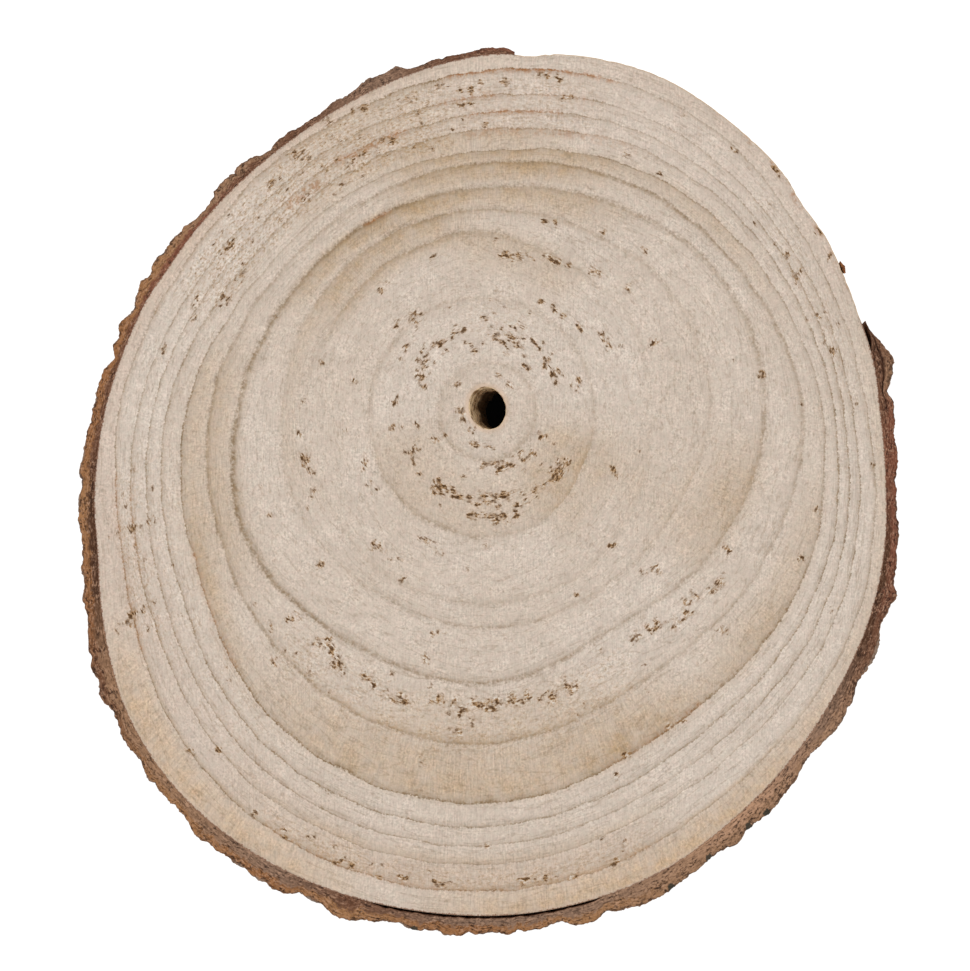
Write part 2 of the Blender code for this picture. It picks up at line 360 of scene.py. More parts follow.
# Washes of colour on the sawn face: from one angle to another, from one ring to another, strength.
# A ring's number is its place in the list above, 0 is the pith's edge and 12 the rim.
tanned = [
    (213, 252, 11, 12, 0.9), (266, 312, 11, 12, 1), (312, 330, 11, 12, 0.4), (330, 372, 11.1, 12, 0.25),
    (86, 165, 11, 12, 0.25), (168, 213, 5, 6.9, 0.5), (235, 300, 6, 7, 0.7), (250, 290, 5.3, 6.2, 0.3),
    (290, 325, 6.5, 7.1, 0.4), (200, 228, 6.5, 7.1, 0.5), (66, 112, 5.2, 7, 0.85), (35, 70, 6, 7.2, 0.35),
    (75, 112, 7, 8, 0.5), (98, 152, 2.9, 4, 0.8), (58, 122, 4, 5, 0.65), (55, 100, 2.4, 3.2, 0.35),
    (18, 42, 6, 6.8, 0.3), (326, 352, 4.1, 5.2, 0.4), (318, 345, 6.2, 7, 0.35), (195, 305, 1.1, 2, 0.3),
    (300, 345, 1.2, 2.4, 0.6), (325, 345, 2, 5, 0.2), (100, 135, 7, 11, 0.35), (240, 292, 9.5, 11, 0.35),
    (100, 150, 4.2, 5.2, 0.8), (150, 200, 3.2, 4, 0.25),
]
rusty = [
    (68, 97, 10.9, 11.1, 1), (190, 216, 10.85, 11.1, 0.45), (192, 206, 9.9, 10.1, 0.4),
    (205, 226, 6.9, 7.1, 0.4), (288, 306, 6.9, 7.1, 0.3), (88, 100, 9.8, 10.1, 0.7),
    (71, 80, 9.9, 10.1, 0.6), (76, 94, 8.8, 9.2, 0.8), (60, 95, 7.6, 8, 0.5), (242, 292, 10.8, 11.1, 0.3),
    (116, 124, 4.9, 5.1, 0.7), (126, 136, 8.2, 8.8, 0.8), (112, 122, 8.6, 9.2, 0.8),
    (106, 113, 8.7, 9.1, 0.7), (32.6, 35.4, 11.72, 12.1, 1), (27.4, 29.2, 11.8, 12.1, 0.9),
    (22.8, 24.6, 11.8, 12.1, 0.8), (37, 41.5, 11.86, 12.1, 0.8), (45, 46.5, 11.8, 12.1, 0.7),
    (52, 53, 11.8, 12.1, 0.6), (18, 20, 11.85, 12.1, 0.6),
]
rosy = [
    (130, 212, 10.9, 12, 0.6), (100, 135, 11, 12, 0.5), (15, 70, 11.2, 12, 0.4), (40, 100, 8, 11, 0.2),
    (200, 260, 8.5, 11, 0.35), (255, 290, 10, 11.1, 0.5),
]
bleached = [
    (20, 70, 8, 11, 0.5), (120, 200, 8, 11, 0.6), (290, 360, 7.4, 11, 0.5), (200, 235, 7.6, 10, 0.4),
    (0, 60, 1, 3, 0.5), (60, 190, 1, 2, 0.5), (285, 320, 4.2, 5.8, 0.5), (0, 40, 4, 5, 0.2),
]
speckled = [
    (98, 160, 7.4, 10.7, 1), (70, 95, 8, 10.8, 0.5), (190, 215, 9.6, 11.2, 0.6), (240, 292, 10.2, 11, 0.6),
    (0, 40, 8.5, 10.8, 0.35), (225, 300, 5.2, 6.2, 0.5), (185, 240, 7, 10, 0.3), (95, 140, 10.6, 11, 0.5),
    (60, 110, 1.3, 2, 0.4), (330, 30, 1.1, 2, 0.2),
]

# how softly each wash ends, in degrees and in rings
washFades = {
    "tanned": (20, 0.5), "rusty": (2, 0.14), "rosy": (16, 0.4), "bleached": (18, 0.5), "speckled": (14, 0.6),
}

# Grain torn out by the saw, read off the photo: pixel across, pixel down, half its length
# along the rings and half its width across them in pixels, and the number of pits.
tornPixels = [
    (466, 421, 14, 8, 16), (482, 445, 12, 3, 8), (498, 376, 5, 3, 3), (510, 385, 4, 3, 3),
    (526, 367, 4, 3, 3), (448, 337, 20, 5, 14), (421, 353, 9, 4, 6), (421, 371, 13, 12, 18),
    (458, 380, 7, 3, 3), (474, 346, 9, 8, 7), (413, 316, 8, 6, 6), (396, 325, 5, 3, 3),
    (403, 352, 10, 3, 4), (396, 401, 6, 4, 4), (320, 363, 5, 3, 3), (353, 380, 4, 3, 2),
    (379, 290, 11, 3, 4), (430, 258, 6, 2, 2), (445, 350, 4, 2, 2), (483, 318, 3, 2, 2),
    (511, 256, 13, 5, 12), (530, 258, 4, 3, 3), (551, 258, 9, 4, 8), (567, 265, 3, 2, 2),
    (594, 273, 7, 3, 6), (548, 221, 9, 3, 5), (603, 233, 3, 2, 2), (644, 250, 4, 2, 3),
    (541, 302, 3, 3, 3), (558, 311, 8, 4, 6), (579, 327, 4, 3, 4), (628, 288, 3, 2, 2),
    (653, 345, 5, 2, 3), (605, 342, 10, 4, 8), (489, 318, 4, 3, 2), (492, 337, 6, 5, 5),
    (510, 341, 14, 12, 20), (536, 343, 8, 5, 6), (552, 369, 16, 8, 18), (523, 365, 5, 4, 3),
    (576, 388, 9, 4, 6), (483, 84, 3, 3, 2), (507, 82, 6, 2, 5), (544, 77, 7, 2, 4), (559, 79, 4, 2, 3),
    (470, 89, 12, 4, 8), (444, 86, 6, 3, 4), (627, 155, 4, 2, 2), (660, 173, 4, 2, 2),
    (786, 256, 3, 3, 4), (797, 275, 4, 5, 5), (818, 318, 3, 3, 2), (832, 349, 4, 7, 5),
    (763, 374, 2, 3, 3), (437, 436, 5, 7, 5), (490, 465, 10, 4, 8), (435, 482, 22, 6, 16),
    (467, 498, 34, 7, 34), (482, 517, 16, 5, 18), (415, 456, 9, 7, 9), (393, 428, 4, 6, 4),
    (363, 463, 5, 4, 4), (371, 486, 6, 4, 4), (307, 464, 11, 8, 12), (311, 494, 3, 4, 3),
    (300, 435, 3, 2, 2), (322, 562, 4, 6, 5), (387, 553, 17, 6, 10), (400, 579, 5, 3, 3),
    (436, 634, 9, 3, 5), (425, 658, 3, 2, 2), (432, 545, 14, 3, 5), (273, 516, 3, 2, 2),
    (295, 622, 9, 8, 7), (326, 648, 14, 7, 14), (340, 666, 9, 4, 7), (371, 680, 11, 6, 10),
    (395, 696, 11, 6, 11), (436, 703, 8, 5, 9), (476, 706, 26, 6, 26), (269, 630, 4, 4, 3),
    (273, 660, 5, 3, 4), (446, 733, 16, 3, 4), (192, 753, 4, 5, 4), (219, 751, 4, 4, 4),
    (253, 813, 5, 3, 3), (282, 833, 9, 6, 6), (344, 864, 11, 4, 8), (376, 877, 5, 3, 3),
    (400, 877, 8, 3, 5), (440, 883, 11, 4, 8), (486, 847, 3, 2, 2), (142, 525, 4, 24, 14),
    (135, 615, 5, 28, 18), (543, 437, 4, 8, 6), (561, 470, 12, 9, 18), (515, 462, 22, 9, 24),
    (543, 486, 14, 6, 12), (501, 495, 22, 5, 20), (505, 517, 13, 5, 14), (521, 504, 8, 4, 5),
    (490, 546, 5, 2, 2), (614, 469, 7, 6, 6), (681, 440, 3, 3, 2), (610, 544, 4, 4, 4),
    (728, 551, 3, 8, 4), (655, 573, 9, 9, 7), (717, 583, 12, 4, 10), (690, 600, 12, 4, 7),
    (656, 625, 12, 4, 8), (680, 620, 14, 4, 11), (635, 636, 6, 4, 4), (724, 632, 3, 3, 3),
    (490, 704, 11, 5, 12), (514, 702, 10, 6, 12), (540, 696, 17, 4, 14), (572, 685, 10, 4, 9),
    (583, 700, 3, 3, 2), (578, 592, 3, 2, 2), (680, 720, 4, 3, 3), (669, 727, 4, 3, 3),
    (622, 756, 6, 4, 5), (616, 775, 3, 2, 2), (574, 877, 4, 2, 4), (615, 862, 4, 3, 5),
    (537, 878, 20, 4, 12), (800, 557, 3, 2, 2), (815, 507, 3, 3, 2), (873, 463, 2, 2, 2),
    (567, 98, 7, 3, 5), (460, 104, 12, 3, 7), (390, 140, 9, 3, 6), (357, 157, 8, 4, 6),
    (303, 197, 7, 4, 6), (735, 152, 5, 2, 3), (778, 172, 6, 3, 6), (818, 231, 4, 4, 5),
    (830, 258, 3, 3, 3), (223, 300, 5, 4, 5), (196, 316, 4, 3, 3), (163, 350, 4, 3, 5),
    (230, 245, 8, 6, 8), (268, 186, 6, 4, 5), (300, 152, 8, 5, 8), (320, 120, 8, 6, 8),
    (360, 108, 9, 6, 8), (405, 100, 8, 5, 6), (245, 270, 6, 5, 5), (194, 302, 6, 4, 4),
    (305, 157, 5, 3, 4),
]
torn = {
    "seed": 11,
    "halfLength": (0.3, 0.95),        # mm along the ring
    "halfWidth": (0.18, 0.42),
    "depth": (0.2, 0.65),
    "turnSpread": 0.3,                # radians that a pit strays from its ring
    "acrossSpread": 0.5,              # share of a cluster's half width that its pits stray
    "finePhase": 1.05,                # rings closer in than this have a fine enough mesh already
    "fineMargin": (0.7, 0.6),         # mm round a pit where the mesh is made finer
    "cuts": 2,
    "crowding": 1.05,                 # pits drawn for each one read
    "scattered": 50,                  # single pits anywhere on the face
    "crumbled": 110,                  # and more of them where the face is speckled
    "scatteredFrom": 20,              # mm from the pith
    "scatteredTo": 0.97,              # share of the way to the rim
    "shoulder": (1.25, 0.12),         # how far out a pit's slope starts, and mm added to its size
    "bloomMargin": (1.3, 0.75),       # mm round a pit that are browned
    "bloomForce": 0.45,
}


def barkedShare(angles):
    # one where the rim has bark on it, nought on the bare stretch
    start, end = disc["bare"]
    return 1 - softPatch(angles, 0, (start, end, -1, 1, 1), 1)


def swelling(angles, stretches):
    # mm that an outline stands out over some stretches of it
    return sum(softPatch(angles, 0, (start, end, -1, 1, size), 8) for start, end, size in stretches)


def rimRadii(angles):
    # mm from the pith to the wood's rim
    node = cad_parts["wood"]
    return castProfile(node, angles, thickness / 2, True) + swelling(angles, disc["fuller"])


def ringTable(angles):
    # radii in mm of the pith's edge, each ring and the rim at each angle, and how bold each ring is
    edgeRound = disc["edgeRound"]
    edge = castProfile(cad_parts["wood"], angles, thickness - edgeRound - 0.05, False)
    rim = rimRadii(angles)
    radii = [edge + edgeRound * 0.6, *(aroundRing(ring["radii"], angles) for ring in rings.values())]
    table = np.array([*radii, rim - edgeRound * 0.6])
    for row in range(1, rimPhase):
        table[row] = np.minimum(table[row], table[-1] - disc["ringGap"] * (rimPhase - row))
    pithBold, rimBold = (np.full(len(angles), value) for value in disc["edgeBold"])
    bold = np.array([pithBold, *(aroundRing(ring["bold"], angles) for ring in rings.values()), rimBold])
    return table, bold, rim


def discSection():
    # rows of the section, in order round it: growth phase and height in mm
    rows = []
    steps = [ring["steps"] for ring in rings.values()] + [disc["rimSteps"]]
    for start, count in enumerate(steps):
        rows += [(start + step / count, thickness) for step in range(count)]
    rows += [(rimPhase, thickness - step) for step in disc["sideSteps"]]
    rows += [(rimPhase, step) for step in disc["edgeSteps"]]
    rows += [(phase, 0) for phase in disc["undersideRings"]]
    rows += [(0, step) for step in disc["holeSteps"]]
    rows += [(0, thickness - step) for step in disc["edgeSteps"]]
    return rows


def wornEdge(heights, radius):
    # mm that a rounded edge stands back at a height
    depth = np.minimum(heights, thickness - heights)
    lack = np.clip(radius - depth, 0, radius)
    return radius - np.sqrt(np.maximum(radius * radius - lack * lack, 0))


def placeDisc(blank):
    section = np.array(discSection())
    rows, sectors = blankPlaces(blank.data, len(section), disc["sectors"])
    sectors = sectors % disc["sectors"]
    allAngles = np.arange(disc["sectors"]) * 360 / disc["sectors"]
    radii, bold, rim = ringTable(allAngles)
    phases, heights = section[rows].T
    inner = np.minimum(phases.astype(int), rimPhase - 1)
    share = phases - inner
    ring = radii[inner, sectors] * (1 - share) + radii[inner + 1, sectors] * share
    across = (ring - radii[0, sectors]) / (radii[-1, sectors] - radii[0, sectors])

    # the pith's wall leans, so its middle moves with the height
    slope = math.tan(math.radians(disc["pithLean"]))
    lean = math.radians(disc["pithLeansTowards"])
    leanWay = np.array([math.cos(lean), math.sin(lean)])
    wall = np.zeros(len(rows))
    for level in np.unique(heights[phases == 0]):
        met = min(max(level, disc["wallGrip"]), thickness - disc["wallGrip"])
        middle = np.array(pithAt) + (thickness - met) * slope * leanWay
        here = (heights == level)
        wall[here] = castProfile(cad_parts["wood"], allAngles, met, False, middle)[sectors[here]]
    way = np.stack([np.cos(np.radians(allAngles[sectors])), np.sin(np.radians(allAngles[sectors]))], 1)
    centre = np.array(pithAt) + ((thickness - heights) * slope)[:, None] * leanWay
    barked = barkedShare(allAngles)[sectors]
    rounding = disc["edgeRound"] * (1 - barked) + disc["barkedEdge"] * barked
    worn = wornEdge(heights, np.where(heights > thickness / 2, rounding, disc["edgeRound"]))
    radius, stretch, size = disc["wallNoise"]
    atTop, below, depth = disc["wallRough"]
    ragged = np.clip(roughness(np.column_stack([way * radius, heights * stretch]), size), -0.5, 0.5)
    ragged *= atTop + below * eased((thickness - heights) / depth)
    wallPoint = centre + way * (wall + wornEdge(heights, disc["edgeRound"]) + ragged)[:, None]

    # fibres are broken out of the rim here and there
    radius, stretch, size = disc["rimNoise"]
    outermost = phases > rimPhase - 0.5
    nicks = np.zeros(len(rows))
    rimPlaces = np.column_stack([way * radius, heights * stretch])[outermost]
    nicks[outermost] = np.clip(roughness(rimPlaces, size), 0, 1) * disc["rimNicks"]
    rimPoint = np.array(pithAt) + way * (rim[sectors] - worn - nicks * (1 - barked))[:, None]
    flat = wallPoint + (rimPoint - wallPoint) * across[:, None]
    writePoints(blank.data, np.column_stack([flat, heights]) * mm)

    means = radii.mean(axis=1)
    belowTop = heights < thickness - 0.1
    for name, values in {
        "phase": phases,
        "pace": radii[inner + 1, sectors] - radii[inner, sectors],
        "growth": means[inner] * (1 - share) + means[inner + 1] * share,
        "bold": bold[inner, sectors] * (1 - share) + bold[inner + 1, sectors] * share,
        "sawn": ~belowTop | (heights < 0.1),
        "hollow": (phases == 0) & belowTop,
        "barked": barked,
    }.items():
        writeField(blank.data, name, values)


def speckledAt(angle, reach, table):
    # how speckled the face is at an angle and a distance in mm from the pith
    radii = table[:, int(round(angle / 360 * (table.shape[1] - 1)))]
    phase = np.interp(reach, radii, range(len(radii)))
    return sum(softPatch(angle, phase, patch, *washFades["speckled"]) for patch in speckled)


def drawPits(table):
    # every torn pit: its place in mm, the way its ring runs, its size and its depth
    draw = random.Random(torn["seed"])
    scale = photoFrame["mmPerPixel"]
    places = []
    for across, down, along, wide, count in tornPixels:
        x = (across - photoFrame["pith"][0]) * scale
        y = (photoFrame["pith"][1] - down) * scale
        places += [(x, y, along * scale, wide * scale)] * round(count * torn["crowding"])
    rimOf = table[-1]
    wanted = torn["scattered"] + torn["crumbled"]
    while wanted:
        angle = draw.uniform(0, 360)
        furthest = torn["scatteredTo"] * rimOf[int(angle / 360 * (len(rimOf) - 1))]
        reach = draw.uniform(torn["scatteredFrom"], furthest)
        if wanted <= torn["scattered"] or draw.random() < speckledAt(angle, reach, table):
            turn = math.radians(angle)
            places.append((reach * math.cos(turn), reach * math.sin(turn), 1, 1))
            wanted -= 1
    pits = []
    for x, y, along, wide in places:
        turn = math.atan2(y, x) + math.pi / 2
        shiftAlong = draw.uniform(-1, 1) * along
        shiftAcross = draw.gauss(0, torn["acrossSpread"]) * wide
        pits.append({
            "x": pithAt[0] + x + math.cos(turn) * shiftAlong + math.sin(turn) * shiftAcross,
            "y": pithAt[1] + y + math.sin(turn) * shiftAlong - math.cos(turn) * shiftAcross,
            "turn": turn + draw.gauss(0, torn["turnSpread"]),
            "long": draw.uniform(*torn["halfLength"]),
            "wide": draw.uniform(*torn["halfWidth"]),
            "depth": draw.uniform(*torn["depth"]),
        })
    return pits


def pitReach(points, pit, marginAlong, marginAcross):
    # how far each point is from a pit's middle, where one is its edge
    dx = points[:, 0] - pit["x"]
    dy = points[:, 1] - pit["y"]
    along = dx * math.cos(pit["turn"]) + dy * math.sin(pit["turn"])
    across = dy * math.cos(pit["turn"]) - dx * math.sin(pit["turn"])
    return np.hypot(along / (pit["long"] + marginAlong), across / (pit["wide"] + marginAcross))


def refineRoundPits(piece, pits):
    # the faces of the sawn face round each pit are cut finer
    mesh = piece.data
    centres = np.zeros(len(mesh.polygons) * 3)
    mesh.polygons.foreach_get("center", centres)
    centres = centres.reshape(-1, 3) / mm
    corners = np.array([face.vertices[0] for face in mesh.polygons])
    top = (centres[:, 2] > thickness - 0.05) & (readField(mesh, "phase")[corners] > torn["finePhase"])
    candidates = np.flatnonzero(top)
    near = np.zeros(len(candidates), bool)
    for pit in pits:
        near |= pitReach(centres[candidates], pit, *torn["fineMargin"]) < 1
    chosen = np.zeros(len(mesh.polygons), bool)
    chosen[candidates[near]] = True
    pickOnly(piece)
    bpy.ops.object.mode_set(mode="EDIT")
    bpy.ops.mesh.select_mode(type="FACE")
    bpy.ops.mesh.select_all(action="DESELECT")
    bpy.ops.object.mode_set(mode="OBJECT")
    mesh.polygons.foreach_set("select", chosen)
    bpy.ops.object.mode_set(mode="EDIT")
    bpy.ops.mesh.subdivide(number_cuts=torn["cuts"])
    bpy.ops.object.mode_set(mode="OBJECT")


def colourDisc(mesh, pits):
    points = readPoints(mesh) / mm
    phases = readField(mesh, "phase")
    angles = np.degrees(np.arctan2(points[:, 1] - pithAt[1], points[:, 0] - pithAt[0])) % 360
    for name, patches in (("tanned", tanned), ("rusty", rusty), ("rosy", rosy),
                          ("bleached", bleached), ("speckled", speckled)):
        wash = sum(softPatch(angles, phases, patch, *washFades[name]) for patch in patches)
        writeField(mesh, name, np.clip(wash, 0, 1))

    # pits are lowered, the field pit is one in the middle of each, and bloom is the brown round them
    top = np.flatnonzero(points[:, 2] > thickness - 0.05)
    upper = points[top]
    spot, depth, bloom = np.zeros((3, len(top)))
    edge, margin = torn["shoulder"]
    for pit in pits:
        near = np.flatnonzero((np.abs(upper[:, :2] - (pit["x"], pit["y"])) < 4).all(axis=1))
        inside = eased(edge - pitReach(upper[near], pit, margin, margin))
        spot[near] = np.maximum(spot[near], inside)
        depth[near] = np.maximum(depth[near], inside * pit["depth"])
        bloom[near] += torn["bloomForce"] * eased(1.1 - pitReach(upper[near], pit, *torn["bloomMargin"]))
    points[top, 2] -= depth
    writePoints(mesh, points * mm)
    for name, values in (("pit", spot), ("bloom", np.clip(bloom, 0, 1))):
        field = np.zeros(len(points))
        field[top] = values
        writeField(mesh, name, field)


endGrain = {
    "tones": {
        "wood": "#D0C0B1",
        "paleWood": "#D9CCC0",
        "tan": "#B69A79",
        "outerTan": "#C6AA8C",
        "rose": "#CDB6A7",
        "ringLine": "#8B7356",
        "rust": "#9A6538",
        "torn": "#5A3F25",
        "tornEdge": "#A97F4C",
        "crumb": "#75603F",
        # pale fibre ends, partly painted highlight standing in for torn fibres that lift and catch the light
        "fleck": "#EFE7DB",
        "bast": "#7A4E36",
        "rimFibre": "#B39372",
        "rimFibreLight": "#DCC4A6",
        "pithWall": "#EED2AA",
        "pithDark": "#80603F",
        "pithEdge": "#DCC2AC",
    },
    # size in mm, detail and roughness of each noise. Grain and pores are drawn about twice as coarse
    # as the real ones, so that they show.
    "noises": {
        "wobble": (13, 3, 0.5),
        "jitter": (0.8, 1, 0.6),
        "longBreaks": (7, 4, 0.65),
        "shortBreaks": (1.3, 2, 0.6),
        "grain": (0.8, 1, 0.6),
        "mottle": (2.2, 3, 0.6),
        "blotches": (6.5, 4, 0.65),
        "tint": (1.8, 2, 0.6),
        "cloud": (26, 3, 0.5),
    },
    "noiseTurn": (0.6, 0.5, 0.4),    # radians, so that no noise lines up with the axes
    # noises that follow the rings: their size in mm round the pith and across the rings
    "ringNoises": {
        "rays": (0.55, 5),           # drawn twice as coarse as real rays so that they show
        "layers": (16, 0.8),         # fine layers inside a ring
        "faint": (40, 5),            # faint rings between the listed ones
    },
    "usualRadius": 115,              # mm from the pith, where the sizes round it hold
    "crumbNoises": {"crumbs": (1.3, 0.8), "shreds": (1.5, 0.75)},
    # fibres along the trunk on the bare rim: width, length, detail and roughness
    "fibres": (1.1, 16, 4, 0.65),
    "strips": (4, 30, 5, 0.6),
    # which noise each share is read from, between which values, and what it is at each of them
    "shares": {
        "broken": ("longBreaks", 0.3, 0.6, 0.4, 1),
        "dotted": ("shortBreaks", 0.36, 0.58, 0.25, 1.15),
        "patchy": ("blotches", 0.3, 0.65, 0.4, 1.15),
        "hatched": ("rays", 0.36, 0.64, 0.2, 1),
        "uneven": ("mottle", 0.38, 0.56, 0.25, 1),
        "crumbled": ("mottle", 0.4, 0.56, 0, 1),
        "rustBlotch": ("mottle", 0.46, 0.62, 0, 0.8),
        "cloudy": ("cloud", 0.4, 0.68, 0, 0.4),
        "dull": ("mottle", 0, 1, 0.74, 0.9),
    },
    "wobble": 1.3,                   # mm that a ring wavers
    "jitter": 1.3,                   # mm that the finest bits of a ring line stand off it
    "sharpens": (5.5, 6.7),          # rings between which the lines go from blurred to sharp
    "line": (1.8, 0.42),             # mm, half the width of the blurred and of the sharp lines
    "shoulder": (6, 2.8),            # mm of darker late wood inside each ring, blurred and sharp
    "shoulderFall": 1.6,             # how fast it fades inwards
    "paleForce": 1.7,
    "shoulderForce": 0.95,
    "lineForce": 1.1,
    "ripening": (1.2, 0.5, 1.1),     # tan deepens through a ring: power, and share at its start and end
    "outermost": (10.9, 11.2),       # rings between which the tan turns to the outer one
    "faintBands": 7,                 # how many faint rings one swing of their noise gives
    "faintLine": (0.13, 0.32),       # their width as a share of that, and how strongly they show
    # how strongly each noise lightens and darkens the face
    "contrast": {"mottle": 0.3, "blotches": 0.24, "layers": 0.16, "faint": 0.14},
    "grainForce": (0.36, 0.64, 0.25, 0.95),    # grain, where the face is smooth and where it is rough
    "rayForce": (0, 1, 0.16, 0.7),             # rays, in pale wood and in tanned wood
    "scratchSize": (0.5, 5),         # mm, marks of the saw and the sander
    "scratchForce": 0.45,
    "scratches": ((58, 0.45, 0.6), (-40, 0.55, 0.4)),    # degrees, and from what cloud to what cloud
    "tints": ((1.05, 0.975, 0.98, 1), (0.95, 1.015, 0.995, 1)),
    "leastCrumbs": 0.08,
    # crumbs and fibre ends, the light ones partly painted highlight: tone, from and to which noise, and how
    # strongly at most
    "crumbLayers": (("tornEdge", 0.48, 0.62, 0.5), ("crumb", 0.59, 0.72, 0.8), ("fleck", 0.42, 0.3, 0.5)),
    # torn spots, and the light flecks beside them that are partly painted highlight: the field that swells
    # them and by how much, then as for crumbs
    "tornLayers": (
        ("bloom", -0.12, "fleck", 0.4, 0.33, 0.6), ("bloom", 0.26, "tornEdge", 0.52, 0.66, 0.85),
        ("bloom", 0.12, "torn", 0.58, 0.66, 0.95), ("pit", 0.16, "torn", 0.56, 0.66, 0.95),
    ),
    "nearTorn": (0.05, 0.5, 0, 1),
    "bastTeeth": -1.3,               # mm that the rays cut into the brown line under the bark
    "bastLine": (-0.9, -1.2, 0, 0.8),
    "lip": (0.5, 1.6, 0.8, 0),       # mm from the pith, and how strongly its pale edge shows
    "rags": (0.58, 0.68, 0, 0.75),   # bast left on the bare rim
    "paintedWallShade": (0.42, 0.52, 0.9, 0),    # shares of the thickness, below which the pith's wall is painted dark as shade deep in the hole
    "bump": (0.4, 0.12),             # strength, and mm of relief
    "shine": 0.25,
}


def sawnEndGrain():
    # Light ring-porous hardwood, sawn across the grain and left dry and bare: matt and chalky, with
    # brown ring lines, fine rays, open pores and torn spots, and almost no shine.
    look = endGrain
    material, add, inMm, tone = startMaterial("sawnEndGrain", look["tones"])
    fields = {name: add("Attribute", attribute_name=name)["Fac"] for name in (
        "phase", "pace", "growth", "bold", "sawn", "hollow", "barked", "tanned", "rusty", "rosy",
        "bleached", "speckled", "pit", "bloom")}
    tilted = add("Mapping", {"Vector": inMm, "Rotation": look["noiseTurn"]})[0]
    grains = addNoises(add, tilted, look["noises"])

    # grids of the way out from the pith and the growth, for what follows the rings or crosses them
    fromPith = add("VectorMath", (inMm, (*pithAt, 0)), operation="SUBTRACT")[0]
    onFace = add("VectorMath", (fromPith, (1, 1, 0)), operation="MULTIPLY")[0]
    way = add("VectorMath", (onFace,), operation="NORMALIZE")[0]
    for place, radius, kinds in (
        (way, look["usualRadius"], look["ringNoises"]), (onFace, 1, look["crumbNoises"]),
    ):
        for name, (sizeRound, sizeOut) in kinds.items():
            around = add("VectorMath", {0: place, "Scale": radius / sizeRound}, operation="SCALE")[0]
            out = add("Math", (fields["growth"], sizeOut), operation="DIVIDE")[0]
            grid = add("VectorMath", (around, add("CombineXYZ", {"Z": out})[0]), operation="ADD")[0]
            grains[name] = addNoises(add, grid, {name: (1, 3, 0.62)})[name]
    share = {name: add("MapRange", (grains[source], *ends))[0]
             for name, (source, *ends) in look["shares"].items()}

    # ring lines: mm from the nearest ring, negative on its inner side
    sway = add("Math", (grains["wobble"], 2 * look["wobble"], -look["wobble"]), operation="MULTIPLY_ADD")[0]
    nudge = add("Math", (grains["jitter"], look["jitter"], -look["jitter"] / 2), operation="MULTIPLY_ADD")[0]
    shift = add("Math", (add("Math", (sway, nudge))[0], fields["pace"]), operation="DIVIDE")[0]
    phase = add("Math", (fields["phase"], shift))[0]
    nearest = add("Math", (phase,), operation="ROUND")[0]
    offset = add("Math", (phase, nearest), operation="SUBTRACT")[0]
    offset = add("Math", (offset, fields["pace"]), operation="MULTIPLY")[0]
    distance = add("Math", (offset,), operation="ABSOLUTE")[0]
    halfWidth, reach = (add("MapRange", (phase, *look["sharpens"], *look[name]))[0]
                        for name in ("line", "shoulder"))
    reach = add("Math", (reach, -1), operation="MULTIPLY")[0]
    core = add("MapRange", (distance, 0.05, halfWidth, 1, 0), interpolation_type="SMOOTHSTEP")[0]
    inside = add("MapRange", (offset, reach, 0, 0, 1))[0]
    outside = add("MapRange", (offset, 0, 0.5, 1, 0))[0]
    shoulder = add("Math", (inside, outside), operation="MULTIPLY")[0]
    shoulder = add("Math", (shoulder, look["shoulderFall"]), operation="POWER")[0]

    # colour of the sawn face: pale and rosy stretches, tan that deepens through each ring, then the lines
    pale = add("Math", (share["cloudy"], fields["bleached"]), operation="MAXIMUM")[0]
    power, least, most = look["ripening"]
    ripening = add("Math", (add("Math", (phase,), operation="FRACT")[0], power), operation="POWER")[0]
    ripening = add("MapRange", (ripening, 0, 1, least, most))[0]
    outermost = add("MapRange", (phase, *look["outermost"], 0, 1))[0]
    tanColour = layColours(add, tone["tan"], [((outermost,), tone["outerTan"])])
    lineColour = layColours(add, tone["ringLine"], [((fields["rusty"],), tone["rust"])])
    contour = add("Math", (grains["faint"], look["faintBands"]), operation="MULTIPLY")[0]
    contour = add("Math", (contour, 0.5), operation="PINGPONG")[0]
    contour = add("MapRange", (contour, 0, *look["faintLine"], 0))[0]
    colour = layColours(add, tone["wood"], [
        ((pale, grains["blotches"], look["paleForce"]), tone["paleWood"]),
        ((fields["rosy"], grains["blotches"]), tone["rose"]),
        ((fields["tanned"], share["patchy"], ripening), tanColour),
        ((contour, share["dotted"]), tone["ringLine"]),
        ((shoulder, fields["bold"], share["broken"], share["hatched"], look["shoulderForce"]), lineColour),
        ((core, fields["bold"], share["broken"], share["dotted"], look["lineForce"]), lineColour),
        ((share["rustBlotch"], fields["rusty"]), tone["rust"]),
    ])

    # light and dark texture: fine grain, layers, rays that show best where the wood is tanned, and
    # marks of the saw that cross each other
    parts = [(grains[name], force) for name, force in look["contrast"].items()]
    parts.append((grains["grain"], add("MapRange", (grains["blotches"], *look["grainForce"]))[0]))
    parts.append((grains["rays"], add("MapRange", (fields["tanned"], *look["rayForce"]))[0]))
    width, length = look["scratchSize"]
    for turn, fromCloud, toCloud in look["scratches"]:
        slanted = add("Mapping", {"Vector": inMm, "Rotation": (0, 0, math.radians(turn)),
                                  "Scale": (1 / width, 1 / length, 1)})[0]
        scratch = add("TexNoise", {"Vector": slanted, "Scale": 1, "Detail": 1})["Fac"]
        force = add("MapRange", (grains["cloud"], fromCloud, toCloud, 0, look["scratchForce"]))[0]
        parts.append((scratch, force))
    texture = 1
    for part, force in parts:
        swing = add("Math", (part, 0.5), operation="SUBTRACT")[0]
        texture = add("Math", (swing, force, texture), operation="MULTIPLY_ADD")[0]
    colour = add("VectorMath", {0: colour, "Scale": texture}, operation="SCALE")[0]
    tinted = layColours(add, look["tints"][0], [((grains["tint"],), look["tints"][1])])
    colour = add("VectorMath", (colour, tinted), operation="MULTIPLY")[0]
